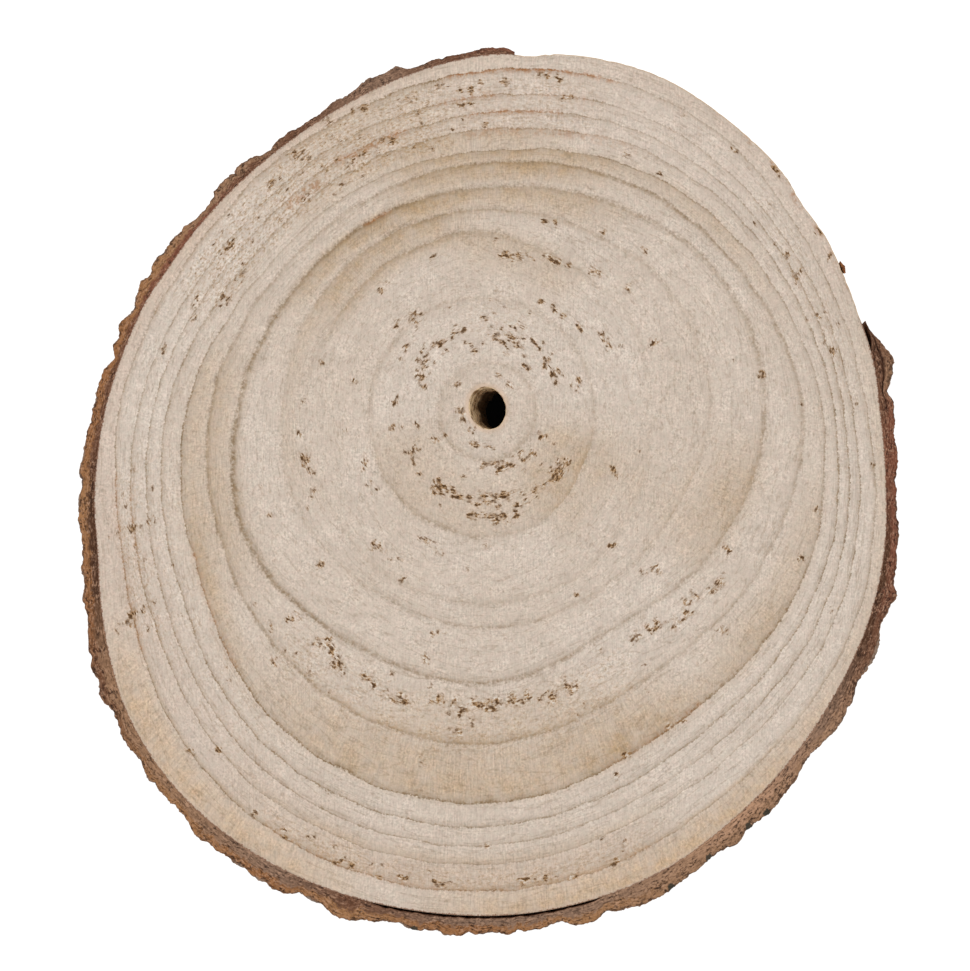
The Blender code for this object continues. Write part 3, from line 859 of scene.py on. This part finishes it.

    # crumbled wood: dark crumbs and light fibre ends, the light ones partly painted highlight, thickest in
    # the speckled parts and round the pits
    crumbly = add("Math", (fields["speckled"], fields["bloom"]), operation="MAXIMUM")[0]
    crumbly = add("Math", (crumbly, share["patchy"]), operation="MULTIPLY")[0]
    crumbly = add("Math", (crumbly, look["leastCrumbs"]), operation="MAXIMUM", use_clamp=True)[0]
    layers = [((add("MapRange", (grains["crumbs"], start, end, 0, most))[0], crumbly), tone[name])
              for name, start, end, most in look["crumbLayers"]]

    # torn pits, the brown round them, and light flecks beside them that are partly painted highlight
    near = add("MapRange", (fields["bloom"], *look["nearTorn"]))[0]
    for field, growth, name, start, end, most in look["tornLayers"]:
        spot = add("Math", (fields[field], growth, grains["shreds"]), operation="MULTIPLY_ADD")[0]
        spot = add("MapRange", (spot, start, end, 0, most))[0]
        layers.append(((spot, near, share["uneven"]), tone[name]))

    # the brown line where bark still holds, jagged by the rays, and the pale edge of the pith
    toRim = add("Math", (rimPhase, fields["phase"]), operation="SUBTRACT")[0]
    toRim = add("Math", (toRim, fields["pace"]), operation="MULTIPLY")[0]
    teeth = add("Math", (grains["rays"], grains["jitter"]))[0]
    toRim = add("Math", (teeth, look["bastTeeth"], toRim), operation="MULTIPLY_ADD")[0]
    toPith = add("Math", (fields["phase"], fields["pace"]), operation="MULTIPLY")[0]
    layers.append(((add("MapRange", (toRim, *look["bastLine"]))[0], fields["barked"]), tone["bast"]))
    layers.append(((add("MapRange", (toPith, *look["lip"]))[0], share["patchy"]), tone["pithEdge"]))
    colour = layColours(add, colour, layers)

    # the bare rim, with rags of bast left on it, and the wall of the pith, painted darker deep down as shade
    fibres = fibreNoise(add, inMm, *look["fibres"])
    rags = add("MapRange", (fibreNoise(add, inMm, *look["strips"]), *look["rags"]))[0]
    rim = layColours(add, tone["rimFibre"], [((fibres,), tone["rimFibreLight"]), ((rags,), tone["bast"])])
    low, high, dark, light = look["paintedWallShade"]
    height = add("SeparateXYZ", (inMm,))["Z"]
    # painted shade: below about half the thickness the pith's wall is laid over with the dark torn tone
    deep = add("MapRange", (height, thickness * low, thickness * high, dark, light))[0]
    wall = layColours(add, tone["pithDark"], [
        ((share["crumbled"],), tone["pithWall"]), ((deep,), tone["torn"]),
    ])
    side = layColours(add, rim, [((fields["hollow"],), wall)])
    colour = layColours(add, side, [((fields["sawn"],), colour)])

    relief = add("Math", (grains["grain"], grains["layers"]))[0]
    relief = add("Math", (relief, fibres))[0]
    finishMaterial(add, colour, relief, look["bump"], share["dull"], look["shine"])
    return material


def makeDisc():
    blank = sheetBlank("woodDisc", len(discSection()), disc["sectors"])
    placeDisc(blank)
    closeSeams(blank, disc["seam"])
    pits = drawPits(ringTable(np.arange(0, 361, 3))[0])
    refineRoundPits(blank, pits)
    colourDisc(blank.data, pits)
    finishPiece(blank, "wood", sawnEndGrain(), disc["sharp"])


# The bark

band = {
    "from": 85.6,
    "to": 373.0,
    "stations": 1300,
    "levels": [0.3, 1.4, 3, 5, 7, 9.5, 12, 14, 16, 18.5, 21, 23.5, 26, 28.6, 29.7],
    "outerSteps": 30,
    "topShares": [0.97, 0.86, 0.74, 0.62, 0.5, 0.4, 0.3, 0.2, 0.1, 0.03],
    "innerHeights": [29.7, 28, 24, 18, 12, 6, 0.4],
    "lowerShares": [0.1, 0.5, 0.9],
    "plateWidth": 4.4,
    "plateHeight": 17,
    "plateSway": (7, (2.4, 3, 0)),        # mm: size of the noise that bends the plates, and how far
    "plateLift": 0.25,                    # mm from the lowest plate to the highest
    "crackWidth": 0.24,
    "crackDepth": 0.8,
    "gape": (9, 0.5, 1.2, 0.08, 1.2),     # cracks' noise in mm, usual width and swing, least and most
    "furrow": (5, 0.1, 0.75),             # mm of noise, half a furrow's width in it, share of a crack's depth
    "tornBack": 1.8,                      # degrees that both ends are torn back below the sawn face
    "tornOver": 6,                        # degrees from each end that are drawn along
    "fibre": 0.4,
    "fibreSize": 1.3,
    "grit": 0.24,
    "gritSize": 0.7,
    "highest": 0.35,                      # mm that relief may stand out
    "sawnRelief": (7, 5, 0.6),            # mm below the face where relief fades, over how much, how far
    "crumble": (1.1, 0.45),               # mm of noise and mm that the cork's sawn edge crumbles
    "corners": (0.12, 0.03),              # mm worn off the outer and inner corner
    "loose": [(257, 283), (369, 376)],    # degrees where a dark gap shows between bark and wood
    "fuller": [(188, 206, 1.1), (218, 250, 0.8), (272, 286, 0.8), (312, 333, 1.0)],
    # degrees, and how far the outline is evened
    "calm": [(146, 208, 0.8), (85, 130, 0.4), (208, 340, 0.35)],
    "evenedOver": 15,                     # stations
    "snug": 0.3,                          # mm that the bark laps over the wood elsewhere
    "snugDepth": 4,                       # down to this far below the sawn face
    "snugLift": 0.24,                     # mm that its inner edge is raised there
    "looseRough": (150, 2.5, 0.4),        # mm: usual radius, and size and height of the inner bumps
    "tipFrom": 369.5,                     # degrees, from here on the peeled end thins to a tip
    "tipThin": 0.7,
    "lobe": (360, 370, 0.45, 0.55, 0.55),    # the groove near the peeled end, as a patch
    "lobeDepth": 2.5,
    "seam": 0.005,                        # mm within which points are one
    "sharp": 60,                          # degrees past which an edge stays sharp
}


def bandSection():
    # rows of the section, in order round it: kind, share of the bark's width and height in mm
    rows = [("outer", 1, height) for height in np.linspace(0.3, thickness - 0.3, band["outerSteps"])]
    rows += [("top", share, thickness) for share in band["topShares"]]
    rows += [("inner", 0, height) for height in band["innerHeights"]]
    rows += [("lower", share, 0) for share in band["lowerShares"]]
    return rows + rows[:1]


def placeBand(blank, node):
    section = bandSection()
    rows, stations = blankPlaces(blank.data, len(section), band["stations"])
    kinds, shares, heights = (np.array(column)[rows] for column in zip(*section))
    span = band["to"] - band["from"]
    angles = band["from"] + np.arange(band["stations"] + 1) * span / band["stations"]
    at = angles[stations]
    levels = np.array(band["levels"])
    outers, inners = (np.array([castProfile(node, angles, level, inward) for level in levels])
                      for inward in (True, False))
    inners += swelling(angles, disc["fuller"])
    window = np.hanning(band["evenedOver"])
    aside = band["evenedOver"] // 2
    reaches = np.pad(outers, ((0, 0), (aside, aside)), mode="edge")
    evened = np.array([np.convolve(row, window / window.sum(), mode="valid") for row in reaches])
    calm = np.clip(swelling(angles, band["calm"]), 0, 1)
    outers = outers + (evened - outers) * calm + swelling(angles, band["fuller"])

    # radii at each point's own height
    clipped = np.clip(heights, levels[0], levels[-1])
    upper = np.clip(np.searchsorted(levels, clipped), 1, len(levels) - 1)
    part = (clipped - levels[upper - 1]) / (levels[upper] - levels[upper - 1])
    outer, inner = (radii[upper - 1, stations] * (1 - part) + radii[upper, stations] * part
                    for radii in (outers, inners))
    held = np.clip(1 - sum(softPatch(at, 0, (*stretch, -1, 1, 1), 3) for stretch in band["loose"]), 0, 1)
    closeness = eased((heights - thickness + band["snugDepth"]) / 3) * held
    usualRadius, size, strength = band["looseRough"]
    ragged = strength * roughness(np.outer(np.radians(angles), [usualRadius, 0, 0]), size)[stations]
    lapped = np.minimum(inner, rimRadii(angles)[stations] - band["snug"])
    inner += (lapped - inner) * closeness + ragged * (1 - closeness)
    thinning = 1 - band["tipThin"] * eased((at - band["tipFrom"]) / (band["to"] - band["tipFrom"]))
    outer = inner + (outer - inner) * thinning
    thick = outer - inner

    # scales, cracks, fibres and grit, worked out on the unrolled bark in mm
    middle = outers.mean(axis=0)
    lengths = np.concatenate([[0], np.cumsum(np.radians(np.diff(angles)) * (middle[1:] + middle[:-1]) / 2)])
    unrolled = np.column_stack([lengths[stations], heights, np.zeros(len(rows))])
    size, sway = band["plateSway"]
    swayed = unrolled + roughness(unrolled, size)[:, None] * np.array(sway)
    cells = swayed / np.array([band["plateWidth"], band["plateHeight"], 1])
    size, usual, swing, least, most = band["gape"]
    gape = np.clip(usual + swing * roughness(unrolled * np.array([1, 0.5, 1]) + 40, size, 2), least, most)
    cracks, lift = np.zeros((2, len(rows)))
    for index in range(len(rows)):
        gaps, seeds = noise.voronoi(Vector(cells[index]))
        cracks[index] = 1 - (gaps[1] - gaps[0]) / (band["crackWidth"] * gape[index])
        lift[index] = noise.cell(seeds[0])
    size, halfWidth, strength = band["furrow"]
    furrows = eased(1 - np.abs(roughness(unrolled * np.array([1, 0.2, 1]) + 90, size)) / halfWidth)
    cracks = np.maximum(eased(cracks) * np.clip(1.5 * gape, 0, 1), strength * furrows)
    fibre = band["fibre"] * roughness(unrolled * np.array([1, 0.25, 1]), band["fibreSize"])
    grit = band["grit"] * roughness(unrolled, band["gritSize"], 2)
    depth, over, fade = band["sawnRelief"]
    sawnOff = 1 - fade * eased((heights - thickness + depth) / over)
    plates = sawnOff * (band["crackDepth"] * cracks + band["plateLift"] * (lift - 0.5))
    relief = np.clip(thick / 4, 0.1, 1) * (plates + fibre + grit)
    reach = inner + shares * (outer - np.maximum(relief, -band["highest"]) - inner)

    # the sawn edge crumbles where it is cork and stays smooth where it is bast
    top = kinds == "top"
    size, strength = band["crumble"]
    ragged = roughness(np.column_stack([lengths[stations], shares * thick, np.full(len(rows), 7.0)]), size)
    crumble = top * np.clip(ragged + 0.2, 0, 1) * eased((shares - 0.3) / 0.5) * strength
    outerCorner, innerCorner = band["corners"]
    corner = top * (np.where(shares > 0.95, outerCorner, 0) + np.where(shares < 0.05, innerCorner, 0))
    along = (at - band["from"]) / span

    # both ends are torn back unevenly below the sawn face
    tear = np.clip(0.45 + 1.2 * roughness(np.outer(heights, [0, 0, 1]) + 5, 6), 0, 1)
    tear *= band["tornBack"] * eased((thickness - heights - 0.5) / 5)
    fromStart, fromEnd = (eased(1 - share * span / band["tornOver"]) for share in (along, 1 - along))
    turned = np.radians(at + tear * (fromStart - fromEnd))
    lobe = softPatch(at, shares, band["lobe"], 3, 0.16)
    closed = (kinds == "inner") * (heights > thickness - 0.5) * held * band["snugLift"]
    height = heights - crumble - corner - top * band["lobeDepth"] * lobe + closed
    flat = np.array(pithAt) + np.stack([np.cos(turned), np.sin(turned)], 1) * reach[:, None]
    low, high = (np.array(corner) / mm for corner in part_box("bark"))
    writePoints(blank.data, np.clip(np.column_stack([flat, height]), low, high) * mm)

    spread = barkLook["lichenSpread"]
    lichen = sum(softPatch(at, shares, (spot - spread, spot + spread, share, 1.3, 1), 0.6, 0.2)
                 for spot, share in barkLook["lichenAt"])
    for name, values in {
        "along": along,
        "across": shares,
        "sawn": top,
        "crack": np.clip(cracks + np.clip(relief, 0, 1) * 0.5, 0, 1),
        "groove": lobe,
        "lichen": lichen * eased((heights - thickness + 6) / 4),
    }.items():
        writeField(blank.data, name, values)


barkLook = {
    "tones": {
        "dark": "#50321F",
        "umber": "#6C4732",
        "red": "#7E4C38",
        "grey": "#8A6D59",
        "warmGrey": "#9A7558",
        "orange": "#9B683F",
        "tan": "#A5774F",
        "pink": "#A58064",
        "paleBast": "#BA9072",
        "plate": "#75543F",
        "plateLight": "#9C7659",
        "weathered": "#8B7C6D",
        "orangeCork": "#94613C",
        "furrow": "#3E2A1E",
        "crack": "#2E1C13",
        "light": "#C39B80",
        "bastInside": "#6B4530",
        "groove": "#3A1E18",
        "lichen": "#34332B",
    },
    # what the sawn edge shows from each angle on: tone of the inner bast, tone of the cork outside it
    # and the share of the width that the bast takes
    "edge": [
        (85.6, "umber", "red", 0.5), (97, "umber", "umber", 0.45), (108, "grey", "grey", 0.4),
        (124, "umber", "umber", 0.5), (136, "umber", "warmGrey", 0.5), (146, "red", "warmGrey", 0.4),
        (156, "red", "tan", 0.35), (172, "umber", "orange", 0.4), (184, "umber", "orange", 0.45),
        (192, "dark", "tan", 0.5), (204, "dark", "orange", 0.5), (216, "warmGrey", "umber", 0.6),
        (230, "warmGrey", "tan", 0.62), (245, "grey", "orange", 0.6), (254, "umber", "tan", 0.5),
        (268, "grey", "orange", 0.5), (280, "grey", "tan", 0.5), (292, "pink", "warmGrey", 0.5),
        (304, "paleBast", "warmGrey", 0.5), (316, "grey", "pink", 0.5), (328, "dark", "umber", 0.45),
        (340, "dark", "red", 0.4), (352, "red", "red", 0.45), (360, "umber", "red", 0.5),
        (364, "umber", "warmGrey", 0.55), (370, "dark", "umber", 0.5), (373, "dark", "dark", 0.5),
    ],
    # degrees, and the share of the width from which each dark spot reaches outwards
    "lichenAt": [(291, 0.76), (296.2, 0.72), (302, 0.7), (304.6, 0.76), (97.5, 0.85), (262, 0.85)],
    "lichenSpread": 0.4,             # degrees to each side
    # size in mm, detail and roughness of each noise
    "noises": {
        "coarse": (3.2, 4, 0.65),
        "fine": (0.9, 3, 0.7),
        "broad": (17, 4, 0.6),
        "patches": (9, 5, 0.7),
    },
    # streaks along the sawn edge: length in mm, how many side by side, detail and roughness
    "alongEdge": {"streaks": (4, 6, 4, 0.6), "shreds": (1.5, 11, 3, 0.65)},
    "mmPerDegree": 2.4,
    "stripes": (1.6, 9, 4, 0.6),     # along the trunk: width, length, detail and roughness
    "drift": 0.02,                   # share of the band that the tones shift by
    "bend": (0.3, 0.7, -0.22, 0.22),
    "jag": (0.3, 0.7, -0.15, 0.15),
    "seamBlur": 0.1,                 # share of the width over which bast turns to cork
    "roughParts": (0.4, 0.58, 0.4, 1.25),
    # specks on the sawn edge: noise, from and to which value, tone, and how strongly at most
    "specks": (
        ("streaks", 0.53, 0.64, "crack", 0.6), ("streaks", 0.45, 0.33, "light", 0.45),
        ("shreds", 0.51, 0.62, "crack", 0.75), ("shreds", 0.46, 0.36, "light", 0.5),
        ("fine", 0.54, 0.65, "crack", 0.65), ("fine", 0.44, 0.34, "light", 0.4),
    ),
    "rind": (0.9, 1.05, 0, 0.6),     # the dark outermost skin, by the share of the width
    # patches on the outer face, given as the specks are
    "worn": (("broad", 0.44, 0.64, "weathered", 0.75), ("coarse", 0.48, 0.66, "orangeCork", 0.6)),
    "gain": (0.3, 0.7, 0.55, 1.4),
    "sunk": 0.8,
    "dirt": (0.66, 0.71, 0, 0.85),
    "lining": (0, 0.05, 1, 0),       # inner bast, by the share of the width
    "grown": (0.35, 0.6, 0, 0.9),
    "bump": (0.6, 0.35),             # strength, and mm of relief
    "dullness": 0.88,
    "shine": 0.2,
}


def dryBark():
    # Thin dry bark, sawn with the wood: dull and crumbly, its cork orange brown where it is cut,
    # its inner bast darker, its outside weathered to grey brown with dark cracks.
    look = barkLook
    material, add, inMm, tone = startMaterial("dryBark", look["tones"])
    fields = {name: add("Attribute", attribute_name=name)["Fac"]
              for name in ("along", "across", "sawn", "crack", "groove", "lichen")}
    noises = addNoises(add, inMm, look["noises"])
    span = band["to"] - band["from"]
    for name, (length, count, detail, rough) in look["alongEdge"].items():
        along = add("Math", (fields["along"], span * look["mmPerDegree"] / length), operation="MULTIPLY")[0]
        across = add("Math", (fields["across"], count), operation="MULTIPLY")[0]
        place = add("CombineXYZ", (along, across))[0]
        noises[name] = addNoises(add, place, {name: (1, detail, rough)})[name]

    # the sawn edge, bast inside and cork outside, with its tones laid round the band
    drift = add("Math", (noises["coarse"], look["drift"], fields["along"]), operation="MULTIPLY_ADD")[0]
    drift = add("Math", (drift, look["drift"] / 2), operation="SUBTRACT")[0]
    stops = [[], [], []]
    for angle, inner, outer, width in look["edge"]:
        for ramp, colour in zip(stops, (tone[inner], tone[outer], [width] * 3 + [1])):
            ramp.append(((angle - band["from"]) / span, colour))
    innerColour, outerColour, innerShare = (
        add("ValToRGB", {"Fac": place}, ramp)["Color"]
        for place, ramp in zip((drift, drift, fields["along"]), stops))
    bend = add("MapRange", (noises["coarse"], *look["bend"]))[0]
    jagged = add("MapRange", (noises["fine"], *look["jag"]))[0]
    bent = add("Math", (fields["across"], add("Math", (bend, jagged))[0]))[0]
    past = add("Math", (bent, innerShare), operation="SUBTRACT")[0]
    outerMask = add("MapRange", (past, -look["seamBlur"], look["seamBlur"], 0, 1))[0]
    roughPart = add("MapRange", (noises["coarse"], *look["roughParts"]))[0]
    layers = [((outerMask,), outerColour)]
    for name, start, end, toneName, most in look["specks"]:
        layers.append(((add("MapRange", (noises[name], start, end, 0, most))[0], roughPart), tone[toneName]))
    layers.append(((add("MapRange", (bent, *look["rind"]))[0],), tone["crack"]))
    layers.append(((fields["groove"],), tone["groove"]))
    edge = layColours(add, innerColour, layers)

    # the outer face: weathered plates with dark furrows, and the bast that lines the band
    stripes = fibreNoise(add, inMm, *look["stripes"])
    layers = [((stripes,), tone["plateLight"])]
    for name, start, end, toneName, most in look["worn"]:
        layers.append(((add("MapRange", (noises[name], start, end, 0, most))[0],), tone[toneName]))
    plate = layColours(add, tone["plate"], layers)
    gain = add("MapRange", (noises["fine"], *look["gain"]))[0]
    plate = add("VectorMath", {0: plate, "Scale": gain}, operation="SCALE")[0]
    plate = layColours(add, plate, [
        ((fields["crack"], look["sunk"]), tone["furrow"]),
        ((add("MapRange", (noises["patches"], *look["dirt"]))[0],), tone["lichen"]),
        ((add("MapRange", (fields["across"], *look["lining"]))[0],), tone["bastInside"]),
    ])
    grown = add("Math", (fields["lichen"], add("Math", (noises["fine"], 0.5), operation="SUBTRACT")[0]))[0]
    grown = add("MapRange", (grown, *look["grown"]))[0]
    colour = layColours(add, plate, [((fields["sawn"],), edge), ((grown,), tone["lichen"])])
    finishMaterial(add, colour, noises["fine"], look["bump"], look["dullness"], look["shine"])
    return material


def closeEnds(piece):
    # a face over each open end of the band
    pickOnly(piece)
    bpy.ops.object.mode_set(mode="EDIT")
    bpy.ops.mesh.select_mode(type="EDGE")
    bpy.ops.mesh.select_all(action="DESELECT")
    bpy.ops.mesh.select_non_manifold()
    bpy.ops.mesh.fill_holes(sides=0)
    bpy.ops.mesh.select_all(action="SELECT")
    bpy.ops.mesh.normals_make_consistent(inside=False)
    bpy.ops.object.mode_set(mode="OBJECT")


def makeBand():
    blank = sheetBlank("barkBand", len(bandSection()), band["stations"])
    placeBand(blank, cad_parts["bark"])
    closeSeams(blank, band["seam"])
    closeEnds(blank)
    finishPiece(blank, "bark", dryBark(), band["sharp"])


flake = {
    "grain": 0.35,       # mm between the points of its mesh
    "relief": 0.22,
    "reliefSize": 1.2,
    "seam": 0.005,       # mm within which points are one
    "sharp": 60,         # degrees past which an edge stays sharp
    "tones": {"deep": "#3A2418", "brown": "#6E4226", "orange": "#9A6238", "frayed": "#B98A5E"},
    "toneStops": {"deep": 0.3, "brown": 0.45, "orange": 0.6, "frayed": 0.75},
    "stripes": (0.8, 7, 4, 0.65),    # width and length in mm, detail and roughness
    "bump": (0.6, 0.3),
    "dullness": 0.9,
    "shine": 0.2,
}


def flakeBast():
    # A rag of fibrous inner bark, torn off with the knife: dull and stringy, its fibres streaked
    # from dark brown through orange to pale tan.
    material, add, inMm, tone = startMaterial("flakeBast", flake["tones"])
    stripes = fibreNoise(add, inMm, *flake["stripes"])
    stops = [(place, tone[name]) for name, place in flake["toneStops"].items()]
    colour = add("ValToRGB", {"Fac": stripes}, stops)["Color"]
    finishMaterial(add, colour, stripes, flake["bump"], flake["dullness"], flake["shine"])
    return material


def makeFlake():
    piece = bpy.data.objects.new("barkFlake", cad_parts["bark_flake"].data.copy())
    scene.collection.objects.link(piece)
    closeSeams(piece, flake["seam"])
    piece.data.remesh_voxel_size = flake["grain"] * mm
    bpy.ops.object.voxel_remesh()
    points = readPoints(piece.data) / mm
    outward = points - points.mean(axis=0)
    outward[:, 2] = 0
    outward /= np.maximum(np.linalg.norm(outward, axis=1), 0.001)[:, None]
    bumps = roughness(points * np.array([1, 1, 0.3]), flake["reliefSize"])
    points += outward * (bumps * flake["relief"])[:, None]
    low, high = (np.array(corner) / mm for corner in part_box("bark_flake"))
    writePoints(piece.data, np.clip(points, low, high) * mm)
    finishPiece(piece, "bark_flake", flakeBast(), flake["sharp"])


# The studio

def paleFloor():
    # Matt white paper sweep, lit until it has no texture of its own, with painted shade, near black, under
    # the slice, where only the pith shows it.
    material, add, inMm, tone = startMaterial("paleFloor", {})
    reach = add("VectorMath", (inMm,), operation="LENGTH")["Value"]
    # painted shade: lit is nought under the slice, where the floor is near black and does not glow, and one
    # past the glow radius
    lit = add("MapRange", (reach, studio["shadeRadius"], studio["glowRadius"], 0, 1))[0]
    shade, light = ([studio[name]] * 3 + [1] for name in ("shadeTone", "floorTone"))
    colour = layColours(add, shade, [((lit,), light)])
    glow = add("Math", (lit, studio["floorGlow"]), operation="MULTIPLY")[0]
    shader = add("BsdfPrincipled", {"Base Color": colour, "Roughness": 1, "Specular IOR Level": 0,
                                    "Emission Color": (1, 1, 1, 1), "Emission Strength": glow})[0]
    add("OutputMaterial", {"Surface": shader})
    return material


def makeStudio():
    bpy.ops.object.select_all(action="DESELECT")
    bpy.ops.mesh.primitive_plane_add(size=studio["floorSize"], location=(0, 0, -studio["floorDrop"] * mm))
    floor = bpy.context.object
    floor.name = "floor"
    floor.data.materials.append(paleFloor())

    world = bpy.data.worlds.new("softRoom")
    world.use_nodes = True
    world.node_tree.nodes["Background"].inputs["Color"].default_value = (1, 1, 1, 1)
    world.node_tree.nodes["Background"].inputs["Strength"].default_value = studio["roomLight"]
    scene.world = world
    for name, (place, size, watts) in studio["softBoxes"].items():
        bpy.ops.object.light_add(type="AREA", location=place)
        lamp = bpy.context.object
        lamp.name = name
        lamp.data.size = size
        lamp.data.energy = watts
        lamp.rotation_euler = Vector(place).to_track_quat("Z", "Y").to_euler()


def makeCamera():
    scale = photoFrame["mmPerPixel"]
    across = (photoFrame["width"] / 2 - photoFrame["middle"][0]) * scale
    up = (photoFrame["middle"][1] - photoFrame["height"] / 2) * scale
    bpy.ops.object.camera_add(location=Vector((across, up, thickness + photoFrame["cameraAbove"])) * mm)
    camera = bpy.context.object
    camera.data.sensor_width = photoFrame["sensor"]
    wide = max(photoFrame["width"], photoFrame["height"]) * scale
    camera.data.lens = photoFrame["sensor"] * photoFrame["cameraAbove"] / wide
    camera.data.clip_end = photoFrame["clipEnd"]
    scene.camera = camera
    scene.view_settings.view_transform = "Standard"


makeCamera()
print("camera set")
makeStudio()
print("studio lit")
makeBand()    # before the wood, whose solid it is measured against
makeDisc()
makeFlake()
print("slice dressed")
